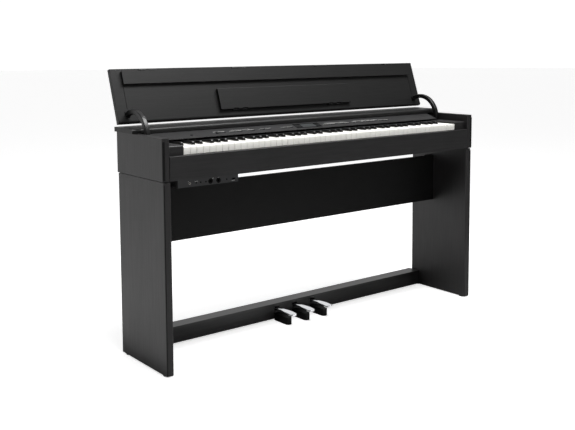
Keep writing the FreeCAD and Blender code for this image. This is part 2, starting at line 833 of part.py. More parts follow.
def make_lid_panel():
    """The lid board, with two thin grooves beside its middle."""
    lid = board("lid_board", "-half", "half", "lid_nose", "lid_tail - lid_strip", "lid_face",
                "lid_back")
    dress(lid, "Fillet", pick(lid, "y", lambda m, b: True), "small_round")
    grooves = []
    for side in (-1, 1):
        x = across(side, "flap_width / 2 - 2", "flap_width / 2")
        grooves.append(box(*x, "flap_axis_y + 50", "lid_tail - 46", "lid_face - 1",
                           "lid_face + 1.5"))
    keep("lid_panel", cut(lid, *grooves), "lid")
    strip = board("strip", "-half", "half", "lid_tail - lid_strip", "lid_tail", "lid_face",
                  "lid_back")
    dress(strip, "Fillet", pick(strip, "x", lambda m, b: near(m.y, b.YMax) and near(m.z, b.ZMin)),
          "lid_strip * 0.97")
    dress(strip, "Fillet", pick(strip, "x", lambda m, b: near(m.y, b.YMax) and near(m.z, b.ZMax)),
          "small_round")
    keep("lid_edge_strip", strip, "lid")


def round_ring(x0, width):
    """A flat ring about the pivot with softened edges."""
    outer = rod("x", "arm_radius", width, x0, 0, 0)
    inner = rod("x", "arm_radius - arm_thick", f"{width} + 2", f"{x0} - 1", 0, 0)
    ring = cut(outer, inner)
    doc.recompute()
    soft = doc.addObject("Part::Fillet", "soft_ring")
    soft.Base = ring
    rims = [n for n, edge in enumerate(ring.Shape.Edges, start=1) if edge.BoundBox.XLength < 1e-4]
    soft.Edges = [(n, SIZES["arm_round"], SIZES["arm_round"]) for n in rims]
    return soft


def make_arm(side):
    """A curved arm: part of a ring about the pivot, joined to the hub by a strut."""
    x0, x1 = across(side, "arm_mid - arm_width / 2", "arm_mid + arm_width / 2")
    ring = round_ring(x0, "arm_width")
    far = "arm_radius * 1.4"
    points = [
        (0, 0), (f"{far} * cos(arm_end_angle)", f"{far} * sin(arm_end_angle)"),
        (f"-{far}", f"-{far}"), (f"-{far}", "lid_face"), (0, "lid_face"),
    ]
    sector = pad(f"sector_{side + 1}", "YZ_Plane", points, x0, "arm_width")
    band = common(ring, sector)
    strut = box(x0, x1, 0, "arm_radius - arm_thick / 2", -6, 6)
    put(strut, x0, 0, 0, tilt="arm_end_angle - 5")
    bored = rod("x", "hinge_pin + pin_clearance", "arm_width + 20", f"{x0} - 10", 0, 0)
    hub = rod("x", "hub_radius", "arm_width", x0, 0, 0)
    # the foot plate lies on the lid's inner face where the ring meets it
    foot_y = "-(arm_radius - arm_thick / 2)"
    plate = box(f"{x0} - 0.5", f"{x1} + 0.5", f"{foot_y} - arm_foot", f"{foot_y} + arm_foot",
                "lid_face - 2", "lid_face")
    arm = cut(fuse(band, strut, hub, plate), bored)
    keep(f"lid_arm_{SIDE_NAMES[side]}", arm, "lid")


def make_hinge_brackets():
    """The forks that hold the arms' pins, screwed under the rear top."""
    brackets = []
    pins = []
    for side in (-1, 1):
        x0, x1 = across(side, "arm_mid - arm_width / 2 - 5", "side_in")
        outer = across(side, "side_in - 3", "side_in")
        inner = across(side, "arm_mid - arm_width / 2 - 5", "arm_mid - arm_width / 2 - 2")
        low = "pivot_z - 10"
        y0, y1 = "pivot_y - 13", "pivot_y + 13"
        fork = fuse(box(*outer, y0, y1, low, "cabinet_top"), box(*inner, y0, y1, low, "cabinet_top"),
                    box(x0, x1, y0, y1, "cabinet_top - 3", "cabinet_top"))
        hole = rod("x", "hinge_pin", "60", f"{x0} - 10", "pivot_y", "pivot_z")
        brackets.append(cut(fork, hole))
        pins.append(rod("x", "hinge_pin", f"({x1}) - ({x0})", x0, "pivot_y", "pivot_z"))
    keep("hinge_brackets", group(*brackets))
    keep("hinge_pins", group(*pins))


def knuckle(x0, x1, y, z, bore, web):
    """A short tube about a hinge wire, with a web to the leaf or board it belongs to."""
    tube = rod("x", "knuckle_radius", f"({x1}) - ({x0})", x0, y, z)
    hole = rod("x", bore, f"({x1}) - ({x0}) + 2", f"{x0} - 1", y, z)
    return cut(fuse(tube, web), hole)


def make_wire_hinge(y, z, places):
    """The lid's side of a wire hinge: leaves with two knuckles each, and their wires."""
    pieces = []
    for middle in places:
        for x in (middle - 30, middle + 10):
            web = box(x, x + 20, f"({y}) - 1.3", f"({y}) + 1.3", z, "lid_face - 0.6")
            leaf = box(x, x + 20, f"({y}) - 3", f"({y}) + 3", "lid_face - 1", "lid_face")
            pieces.append(fuse(knuckle(x, x + 20, y, z, "wire_radius", web), leaf))
        pieces.append(rod("x", "wire_radius", 60, middle - 30, y, z))
    return group(*pieces)


FLAP_HINGES = (-560, -190, 190, 560)
REST_HINGES = (-220, 220)


def make_flap():
    """The narrow front flap, which hangs down in front of the keys when the lid is shut."""
    y0, z1 = "flap_axis_y + 3.5", "flap_axis_z + 3.7"
    flap = board("flap_board", "-flap_width / 2", "flap_width / 2", y0, f"{y0} + flap_height",
                 f"{z1} - flap_thick", z1)
    dress(flap, "Fillet", pick(flap, "x", lambda m, b: near(m.y, b.YMax)), "small_round")
    pieces = [flap]
    holes = []
    for x in FLAP_HINGES:
        web = box(x - 9.5, x + 9.5, "flap_axis_y", f"{y0} + 1", "flap_axis_z - 2.5",
                  "flap_axis_z + 2")
        tube = rod("x", "knuckle_radius", 19, x - 9.5, "flap_axis_y", "flap_axis_z")
        pieces.extend([web, tube])
        holes.append(rod("x", "wire_radius + pin_clearance", 22, x - 11, "flap_axis_y",
                         "flap_axis_z"))
    keep("flap", cut(fuse(*pieces), *holes), "lid")
    keep("flap_hinge", make_wire_hinge("flap_axis_y", "flap_axis_z", FLAP_HINGES), "lid")


def make_music_rest():
    """The folding ledge for the music, on the lid's inner face."""
    y1, z1 = "rest_axis_y - 1.5", "rest_axis_z + 3.3"
    rest = board("rest_board", "-rest_width / 2", "rest_width / 2", f"{y1} - rest_height", y1,
                 f"{z1} - rest_thick", z1)
    dress(rest, "Fillet", pick(rest, "x", lambda m, b: near(m.y, b.YMin)), "small_round")
    pieces = [rest]
    holes = []
    for x in REST_HINGES:
        web = box(x - 9.5, x + 9.5, f"{y1} - 1", "rest_axis_y", "rest_axis_z - 2.5",
                  "rest_axis_z + 1.5")
        tube = rod("x", "knuckle_radius - 0.3", 19, x - 9.5, "rest_axis_y", "rest_axis_z")
        pieces.extend([web, tube])
        holes.append(rod("x", "wire_radius + pin_clearance", 22, x - 11, "rest_axis_y",
                         "rest_axis_z"))
    notches = []
    for x in REST_HINGES:
        for start in (x - 30.5, x + 9.5):
            notches.append(box(start, start + 21, f"{y1} - 2.5", f"{y1} + 1", f"{z1} - rest_thick - 1",
                               f"{z1} + 1"))
    body = cut(fuse(*pieces), *holes, *notches)
    keep("music_rest", body, "lid")
    keep("music_rest_hinge", make_wire_hinge("rest_axis_y", "rest_axis_z", REST_HINGES), "lid")


# ---------------------------------------------------------------- sockets, speakers, electronics

JACKS = (-526, -497)


def make_jack_box():
    """The socket box under the cabinet's front left, with its phone jacks and USB port."""
    low = "cabinet_bottom - jack_box_drop"
    middle = "cabinet_bottom - jack_box_drop / 2 - 0.5"
    shell = box("-jack_box_left", "-jack_box_right", 0, "jack_box_depth", low, "cabinet_bottom")
    hollow = box("-jack_box_left + jack_wall", "-jack_box_right - jack_wall", "jack_wall",
                 "jack_box_depth - jack_wall", f"{low} + jack_wall", "cabinet_bottom + 1")
    holes = [rod("y", "jack_barrel", 20, x, -5, middle) for x in JACKS]
    holes.append(rod("y", "small_barrel", 20, "-small_jack", -5, middle))
    port = ("-usb_x - usb_wide / 2", "-usb_x + usb_wide / 2")
    port_z = (f"{middle} - usb_high / 2", f"{middle} + usb_high / 2")
    holes.append(box(*port, -5, 10, *port_z))
    keep("jack_box", cut(shell, hollow, *holes))
    jacks = []
    for x in JACKS:
        barrel = rod("y", "jack_barrel", "jack_reach + 3", x, 0, middle)
        bore = rod("y", "jack_bore", "jack_reach + 1", x, -1, middle)
        jacks.append(cut(barrel, bore))
    barrel = rod("y", "small_barrel", "small_reach + 3", "-small_jack", 0, middle)
    bore = rod("y", "small_bore", "small_reach + 1", "-small_jack", -1, middle)
    jacks.append(cut(barrel, bore))
    keep("phone_jacks", group(*jacks))
    shell = box(*port, 0, "usb_depth", *port_z)
    mouth = box(f"{port[0]} + usb_sheet", f"{port[1]} - usb_sheet", -1, "usb_depth - 4",
                f"{port_z[0]} + usb_sheet", f"{port_z[1]} - usb_sheet")
    keep("usb_port", cut(shell, mouth))


def make_speakers():
    """Two speakers that face down through the bottom board, behind slotted grilles."""
    speakers = []
    grilles = []
    for side in (-1, 1):
        x = f"{side} * speaker_spread"
        y = "speaker_y"
        flange = rod("z", "speaker_radius + speaker_rim", 2, x, y, "floor_top")
        basket = cone("z", "speaker_radius - 2", "speaker_radius * 0.45", 20, x, y, "floor_top + 2")
        magnet = rod("z", "speaker_radius * 0.5", 12, x, y, "floor_top + 22")
        hollow = cone("z", "speaker_radius - 4", "speaker_radius * 0.3", 18, x, y, "floor_top - 0.01")
        speakers.append(cut(fuse(flange, basket, magnet), hollow))
        disc = rod("z", "speaker_radius", 2, x, y, "cabinet_bottom")
        slots = []
        for step in range(-3, 4):
            slots.append(box(*around(x, "grille_span"),
                             *around(f"{y} + {2 * step} * grille_slot", "grille_slot"),
                             "cabinet_bottom - 1", "cabinet_bottom + 3"))
        grilles.append(cut(disc, *slots))
    keep("speakers", group(*speakers))
    keep("speaker_grilles", group(*grilles))


def make_main_board():
    """The circuit board on stand-offs on the back board."""
    face = "back_in - circuit_post"
    back = f"{face} - circuit_sheet"
    board_item = box(*around("0", "circuit_width"), back, face, "circuit_low", "circuit_high")
    chips = [box(x, x + 26, f"{back} - 2.4", back, "circuit_low + 15", "circuit_low + 41")
             for x in (-120, -30, 70)]
    posts = [rod("y", 3, "circuit_post", f"{side} * (circuit_width / 2 - 10)", face, z)
             for side in (-1, 1) for z in ("circuit_low + 8", "circuit_high - 8")]
    keep("main_board", fuse(board_item, *chips, *posts))


# ---------------------------------------------------------------- assembly and files


def build():
    """Make every piece of the piano."""
    for side in (-1, 1):
        make_leg(side)
        make_side(side)
        make_arm(side)
    make_glides()
    make_rear_panel()
    make_pedal_rail()
    for name, place in PEDALS.items():
        make_pedal(name, place)
    make_pedal_mounts()
    make_pedal_supports()
    make_bottom_board()
    make_front_board()
    make_back_board()
    make_rear_top()
    make_well_walls()
    make_cheeks()
    make_control_panel()
    make_buttons()
    make_keyboard()
    make_lid_panel()
    make_hinge_brackets()
    make_flap()
    make_music_rest()
    make_jack_box()
    make_speakers()
    make_main_board()


def check():
    """Stop if any object failed or any piece has no valid shape."""
    failed = [o.Name for o in doc.Objects if "Invalid" in o.State or "Error" in o.State]
    for label, item in nodes.items():
        if item.Shape.isNull() or not item.Shape.isValid() or not item.Shape.Solids:
            failed.append(label)
    if failed:
        raise RuntimeError("failed: " + ", ".join(failed))


def export():
    """Write each piece to a file of its own."""
    os.makedirs("parts", exist_ok=True)
    for label, item in nodes.items():
        item.Shape.exportStep(f"parts/{label}.step")
    print(len(nodes), "pieces written")


fill_sheet()
build()
doc.recompute()
check()
export()
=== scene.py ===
"""Looks of a slim black digital piano on its stand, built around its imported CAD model."""
import logging
from dataclasses import dataclass, field
from enum import Enum
from typing import Any

import bmesh
import bpy
import numpy as np
from mathutils import Matrix, Vector


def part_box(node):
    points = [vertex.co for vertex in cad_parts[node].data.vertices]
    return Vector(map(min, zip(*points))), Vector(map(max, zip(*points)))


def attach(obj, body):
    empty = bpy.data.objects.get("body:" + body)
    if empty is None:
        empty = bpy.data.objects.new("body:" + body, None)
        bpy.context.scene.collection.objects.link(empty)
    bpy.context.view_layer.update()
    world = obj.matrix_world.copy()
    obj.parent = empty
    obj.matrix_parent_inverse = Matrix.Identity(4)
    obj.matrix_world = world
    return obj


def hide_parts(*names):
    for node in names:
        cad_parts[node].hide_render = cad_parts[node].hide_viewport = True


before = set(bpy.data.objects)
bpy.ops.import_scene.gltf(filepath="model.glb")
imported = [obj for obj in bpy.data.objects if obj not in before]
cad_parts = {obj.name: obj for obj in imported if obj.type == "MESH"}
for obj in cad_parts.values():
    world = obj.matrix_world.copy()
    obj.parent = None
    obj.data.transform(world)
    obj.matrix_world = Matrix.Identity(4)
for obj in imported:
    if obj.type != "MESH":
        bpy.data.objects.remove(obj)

LOG = logging.getLogger("piano")
Array = np.ndarray


# ---------------------------------------------------------------- finishes


def linear(code: str) -> tuple[float, float, float, float]:
    """Turns an sRGB hex colour such as "#1c1c1d" to linear.

    Args:
        code: The colour as # and six hex digits.

    Returns:
        Linear red, green and blue, and 1 for opaque.
    """
    srgb = np.array([int(code[i:i + 2], 16) for i in (1, 3, 5)]) / 255
    low, high = srgb / 12.92, ((srgb + 0.055) / 1.055) ** 2.4
    red, green, blue = np.where(srgb <= 0.04045, low, high)
    return float(red), float(green), float(blue), 1.0


def add_node(tree: bpy.types.NodeTree, kind: str, settings: dict[str, Any] | None = None,
             inputs: dict[str | int, Any] | None = None) -> bpy.types.Node:
    """Adds one node with its settings, values and links.

    Args:
        tree: The node tree.
        kind: The node's type name.
        settings: Properties of the node.
        inputs: Values of its inputs; an output socket is linked instead.

    Returns:
        The node.
    """
    node = tree.nodes.new(kind)
    for name, value in (settings or {}).items():
        setattr(node, name, value)
    for name, value in (inputs or {}).items():
        if isinstance(value, bpy.types.NodeSocket):
            tree.links.new(value, node.inputs[name])
        else:
            node.inputs[name].default_value = value
    return node


class Run(Enum):
    """Which way a grain or brushing runs; the value stretches the pattern along X, Y and Z."""

    NONE = (1.0, 1.0, 1.0)
    ALONG_X = (0.035, 1.0, 1.0)
    ALONG_Y = (1.0, 0.035, 1.0)
    ALONG_Z = (1.0, 1.0, 0.035)


# the slow unevenness: waves to a metre, and its share beside the fine pattern
WIDE_SCALE, WIDE_SHARE = 7.0, 0.45
# the pattern's values that give the dark and the light tone
DARK_AT, LIGHT_AT = 0.42, 1.02
SMOOTHEST = 0.02
SHEEN_ROUGHNESS = 0.4


@dataclass(frozen=True)
class Finish:
    """A real finish: two tones mixed by a fine pattern, which also moves gloss and relief.

    The pattern is noise on object coordinates. Its scale is one over the real spacing of the
    grain, brushing or grit, and a slower noise adds the wide, faint unevenness of a real surface.
    """

    name: str
    dark: str
    light: str
    roughness: float
    spacing_mm: float
    relief_mm: float
    run: Run = Run.NONE
    metallic: float = 0.0
    ior: float = 1.5
    gloss_spread: float = 0.06
    sheen: float = 0.0

    def material(self) -> bpy.types.Material:
        """Makes the material once, and hands out the same one after that."""
        found = bpy.data.materials.get(self.name)
        if found:
            return found
        made = bpy.data.materials.new(self.name)
        made.use_nodes = True
        tree = made.node_tree
        tree.nodes.clear()
        place = add_node(tree, "ShaderNodeTexCoord").outputs["Object"]
        scale = tuple(1000 / self.spacing_mm * part for part in self.run.value)
        spread = add_node(tree, "ShaderNodeMapping", inputs={"Vector": place, "Scale": scale})
        fine = add_node(tree, "ShaderNodeTexNoise", inputs={
            "Vector": spread.outputs["Vector"], "Scale": 1.0, "Detail": 3.0, "Roughness": 0.6})
        wide = add_node(tree, "ShaderNodeTexNoise", inputs={
            "Vector": place, "Scale": WIDE_SCALE, "Detail": 2.0, "Roughness": 0.5})
        both = add_node(tree, "ShaderNodeMath", {"operation": "MULTIPLY_ADD"}, {
            0: wide.outputs["Fac"], 1: WIDE_SHARE, 2: fine.outputs["Fac"]})
        share = add_node(tree, "ShaderNodeMapRange", inputs={
            "Value": both.outputs[0], "From Min": DARK_AT, "From Max": LIGHT_AT})
        tone = add_node(tree, "ShaderNodeMix", {"data_type": "RGBA"}, {
            "Factor": share.outputs["Result"], "A": linear(self.dark), "B": linear(self.light)})
        gloss = add_node(tree, "ShaderNodeMapRange", inputs={
            "Value": share.outputs["Result"], "To Min": self.roughness + self.gloss_spread / 2,
            "To Max": max(SMOOTHEST, self.roughness - self.gloss_spread / 2)})
        relief = add_node(tree, "ShaderNodeBump", inputs={
            "Height": fine.outputs["Fac"], "Strength": 1.0, "Distance": self.relief_mm / 1000})
        values = {"Base Color": tone.outputs["Result"], "Roughness": gloss.outputs["Result"],
                  "Normal": relief.outputs["Normal"]}
        if self.metallic:
            values["Metallic"] = self.metallic
        else:
            values["IOR"] = self.ior
        if self.sheen:
            values.update({"Sheen Weight": self.sheen, "Sheen Roughness": SHEEN_ROUGHNESS})
        shader = add_node(tree, "ShaderNodeBsdfPrincipled", inputs=values)
        add_node(tree, "ShaderNodeOutputMaterial", inputs={"Surface": shader.outputs["BSDF"]})
        return made


# printed black ash foil over particle board: satin, with pores that run along the board. The
# real pores are under a millimetre apart, and are drawn coarser here so that they show
ASH_UPRIGHT = Finish("ash_foil_upright", "#101010", "#232122", 0.46, 4.5, 0.10, Run.ALONG_Z)
ASH_LONG = Finish("ash_foil_long", "#101010", "#222122", 0.46, 4.5, 0.10, Run.ALONG_X)
# the same foil with painted shade: toned darker than it is, and with less gloss, on boards that
# catch the light
ASH_LID_PAINTED_SHADE = Finish("ash_foil_lid_painted_shade", "#070707", "#151515", 0.50, 4.5, 0.10, Run.ALONG_X, ior=1.42)
# the same foil on the rail's top, toned lighter as painted light, since it lies flat and takes the
# light at a glance
ASH_RAIL_PAINTED_LIGHT = Finish("ash_foil_rail_painted_light", "#131313", "#282727", 0.40, 4.5, 0.10, Run.ALONG_X)
# the rear panel's plain matt foil: no pores, its gloss held back; the darkest board, partly by its
# own darker foil and partly by painted shade for the shadow under the cabinet
PLAIN_FOIL_AND_SHADE = Finish("plain_matt_foil_and_painted_shade", "#060606", "#090909", 0.60, 2.2, 0.01, Run.ALONG_X,
                    ior=1.33)
# injection-moulded ABS with a spark-eroded texture: matt and even
PANEL_ABS = Finish("spark_textured_abs", "#101011", "#171718", 0.52, 0.8, 0.03)
# the same plastic on the socket box, toned lighter as painted light, since the light catches it
# more
BOX_ABS_PAINTED_LIGHT = Finish("socket_box_abs_painted_light", "#1b1b1c", "#242425", 0.50, 0.8, 0.03)
# black ABS of the buttons, the sockets and the pedal supports; the supports' finish also paints the
# shade down the rounded outer corners of the sides and legs. Real ABS has an index of about 1.5:
# the lower ones hold its shine back, so that small dark parts stay dark
BUTTON_ABS = Finish("polished_button_abs", "#060606", "#0b0b0b", 0.30, 0.9, 0.01, ior=1.25)
SOCKET_ABS = Finish("socket_abs", "#030303", "#050505", 0.40, 0.8, 0.02, ior=1.18)
SUPPORT_ABS_AND_CORNER_SHADE = Finish("pedal_support_abs_and_corner_shade", "#030303", "#060606", 0.50, 0.8, 0.02, ior=1.30)
# painted cover of the lid's arms: smooth satin black
ARM_LACQUER = Finish("lacquered_arm", "#050505", "#090909", 0.36, 6.0, 0.01, gloss_spread=0.03)
# ivory-feel acrylic: warm white, with pores along each key
IVORY_FEEL = Finish("ivory_feel_acrylic", "#f0efe9", "#f7f6f1", 0.34, 0.9, 0.02, Run.ALONG_Y,
                    ior=1.49)
# ebony-feel ABS: black, finely sanded along each key
EBONY_FEEL = Finish("ebony_feel_abs", "#060606", "#0c0c0c", 0.30, 0.7, 0.03, Run.ALONG_Y)
# polished chromium plate over cast brass: near mirror, with faint wiping marks
CHROME = Finish("polished_chrome", "#dedfe2", "#e8e9ec", 0.09, 5.0, 0.004, Run.ALONG_Y,
                metallic=1.0, gloss_spread=0.04)
# small steel parts: dull bright zinc, bright nickel and black powder coat
ZINC = Finish("zinc_plated_steel", "#a2a3a6", "#c3c4c6", 0.32, 1.2, 0.02, metallic=1.0)
NICKEL = Finish("nickel_jack_sleeve", "#b6b2ab", "#cfccc6", 0.22, 0.8, 0.01, metallic=1.0)
BLACK_STEEL = Finish("powder_coated_steel", "#121213", "#1b1b1c", 0.42, 0.7, 0.04)
# soft black PVC and rubber
EDGING = Finish("soft_pvc_edging", "#0b0b0b", "#131313", 0.50, 1.0, 0.02, Run.ALONG_X)
RUBBER = Finish("rubber_glide", "#141414", "#1f1f1f", 0.72, 0.9, 0.05)
# pressed wool felt: fibres that catch light at their tips
FELT = Finish("pressed_red_felt", "#541016", "#7a1c22", 0.92, 0.7, 0.15, sheen=0.3,
              gloss_spread=0.02)
# the display's smoked window, and the unlit face behind it
WINDOW = Finish("smoked_acrylic_window", "#08090a", "#0c0d0e", 0.10, 12.0, 0.002, ior=1.49,
                gloss_spread=0.02)
DISPLAY_FACE = Finish("unlit_display", "#2b2e2f", "#323536", 0.35, 2.0, 0.005)
# a circuit board's green mask, and paper speaker cones
SOLDER_MASK = Finish("green_solder_mask", "#123d22", "#1a5230", 0.35, 1.4, 0.02)
CONE_PAPER = Finish("speaker_paper", "#111111", "#1c1c1c", 0.80, 1.0, 0.06)
# silk-screened marks on the panel and the socket box, and a painted highlight under the socket
# box's port
INK_AND_HIGHLIGHT = Finish("pale_screen_ink_and_highlight", "#a4a4a2", "#b8b8b6", 0.55, 1.0, 0.002)

# every CAD node that stays, by the finish it is given
CARRIED: dict[Finish, tuple[str, ...]] = {
    ASH_UPRIGHT: ("leg_left", "leg_right", "side_left", "side_right"),
    # the rear panel's foil, darkened partly as painted shade
    PLAIN_FOIL_AND_SHADE: ("rear_panel",),
    ASH_LONG: ("pedal_rail_front", "pedal_rail_back", "bottom_board", "front_board",
               "back_board", "cheek_blocks"),
    # the darker foil, with painted shade, on the boards that catch the light
    ASH_LID_PAINTED_SHADE: ("rear_top", "lid_panel", "flap", "music_rest"),
    # the lighter foil, with painted light, on the rail's flat top
    ASH_RAIL_PAINTED_LIGHT: ("pedal_rail_top",),
    PANEL_ABS: ("control_panel", "well_walls"),
    # the lighter plastic, with painted light, on the socket box
    BOX_ABS_PAINTED_LIGHT: ("jack_box",),
    BUTTON_ABS: ("power_button", "tone_buttons", "play_buttons", "song_buttons",
                 "function_buttons", "volume_slider"),
    SOCKET_ABS: ("power_inlet", "phone_jacks"),
    SUPPORT_ABS_AND_CORNER_SHADE: ("pedal_supports",),
    ARM_LACQUER: ("lid_arm_left", "lid_arm_right"),
    ZINC: ("bracket_screws", "pedal_pins", "pedal_springs", "hinge_pins"),
    BLACK_STEEL: ("panel_brackets", "pedal_mounts", "key_frame", "hinge_brackets",
                  "flap_hinge", "music_rest_hinge", "usb_port"),
    EDGING: ("lid_edge_strip",),
    RUBBER: ("leg_glides",),
    FELT: ("key_felt",),
    WINDOW: ("display_window",),
    SOLDER_MASK: ("main_board",),
    CONE_PAPER: ("speakers", "speaker_grilles"),
}


# ---------------------------------------------------------------- surfaces


# points nearer than this are one point, and edges shorter than that are none
WELD, SPECK = 1e-6, 1e-7


def strip_faces(sets: int, rows: int, columns: int) -> Array:
    """Numbers the quads of several closed tubes, each a stack of rings.

    Args:
        sets: How many tubes there are.
        rows: Rings in each tube.
        columns: Points in each ring, which closes on itself.

    Returns:
        The corners of each quad, as rows of four.
    """
    first, ring, place = np.meshgrid(np.arange(sets), np.arange(rows - 1), np.arange(columns),
                                     indexing="ij")
    low = (first * rows + ring) * columns
    after = (place + 1) % columns
    quads = np.stack([low + place, low + after, low + columns + after, low + columns + place], -1)
    return quads.reshape(-1, 4)


def end_faces(sets: int, rows: int, columns: int) -> list[list[int]]:
    """Numbers the first and last ring of each tube as one closing face each.

    Args:
        sets: How many tubes there are.
        rows: Rings in each tube.
        columns: Points in each ring.

    Returns:
        The corners of each closing face.
    """
    start = (np.arange(sets) * rows * columns)[:, None]
    ring = np.arange(columns)[None]
    return [*(start + ring[:, ::-1]).tolist(), *(start + (rows - 1) * columns + ring).tolist()]


def tubes(rings: Array) -> tuple[Array, list[list[int]]]:
    """Turns stacks of rings to closed tubes.

    Args:
        rings: Points, as tubes by rings by points by three.

    Returns:
        The points as rows, and the faces.
    """
    sets, rows, columns, _ = rings.shape
    faces = strip_faces(sets, rows, columns).tolist() + end_faces(sets, rows, columns)
    return rings.reshape(-1, 3), faces


def make_piece(name: str, surfaces: list[tuple[Array, list[list[int]]]], finish: Finish,
               body: str, smooth_deg: float = 32.0) -> bpy.types.Object:
    """Puts surfaces into one mesh, joins doubled points and turns the faces outwards.

    Args:
        name: The piece's name.
        surfaces: Points and faces, several times over.
        finish: Its finish.
        body: The CAD body that it rides on.
        smooth_deg: Edges flatter than this are shaded smooth.

    Returns:
        The new object, at the origin.
    """
    points: list[list[float]] = []
    faces: list[list[int]] = []
    for some, numbered in surfaces:
        start = len(points)
        points.extend(some.tolist())
        faces.extend([[corner + start for corner in face] for face in numbered])
    mesh = bpy.data.meshes.new(name)
    mesh.from_pydata(points, [], faces)
    work = bmesh.new()
    work.from_mesh(mesh)
    bmesh.ops.remove_doubles(work, verts=work.verts, dist=WELD)
    bmesh.ops.dissolve_degenerate(work, dist=SPECK, edges=work.edges)
    bmesh.ops.recalc_face_normals(work, faces=work.faces)
    work.to_mesh(mesh)
    work.free()
    mesh.shade_smooth()
    mesh.set_sharp_from_angle(angle=np.radians(smooth_deg))
    mesh.materials.append(finish.material())
    piece = bpy.data.objects.new(name, mesh)
    bpy.context.scene.collection.objects.link(piece)
    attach(piece, body)
    LOG.info("%s: %d faces on %s", name, len(mesh.polygons), body)
    return piece


def low_high(node: str) -> tuple[Array, Array]:
    """Gives a CAD node's lowest and highest corners as arrays."""
    low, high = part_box(node)
    return np.array(low), np.array(high)


def superellipse(points: int, power: float) -> Array:
    """A rounded square ring: cosine and sine, each raised to 2 / power with its sign kept.

    Args:
        points: How many points it has.
        power: 2 gives a circle, and more gives squarer corners.

    Returns:
        The ring, from -1 to 1 both ways, as points by two.
    """
    turn = np.linspace(0, 2 * np.pi, points, endpoint=False) + np.pi / points
    wave = np.stack([np.cos(turn), np.sin(turn)], -1)
    return np.sign(wave) * np.abs(wave) ** (2 / power)


def smooth_step(value: Array) -> Array:
    """Rises from 0 to 1 with level ends: three squares less two cubes of the clipped value."""
    clipped = np.clip(value, 0, 1)
    return clipped * clipped * (3 - 2 * clipped)


def bricks(low: Array, high: Array, round_off: float) -> tuple[Array, list[list[int]]]:
    """Small blocks whose top edges are drawn in.

    Args:
        low: Lowest corners, as blocks by three.
        high: Highest corners.
        round_off: How far the top is drawn in along X and Y.

    Returns:
        Points and faces.
    """
    signs = np.array([[-1, -1], [1, -1], [1, 1], [-1, 1]])
    middle, half = (low + high)[:, :2] / 2, (high - low)[:, :2] / 2
    levels = [(low[:, 2], 0.0), (high[:, 2] - round_off, 0.0), (high[:, 2], round_off)]
    rings = []
    for height, inset in levels:
        flat = middle[:, None] + signs[None] * (half - inset)[:, None]
        rings.append(np.concatenate([flat, np.broadcast_to(height[:, None, None],
                                                           (*flat.shape[:2], 1))], -1))
    return tubes(np.stack(rings, 1))


# ---------------------------------------------------------------- keyboard


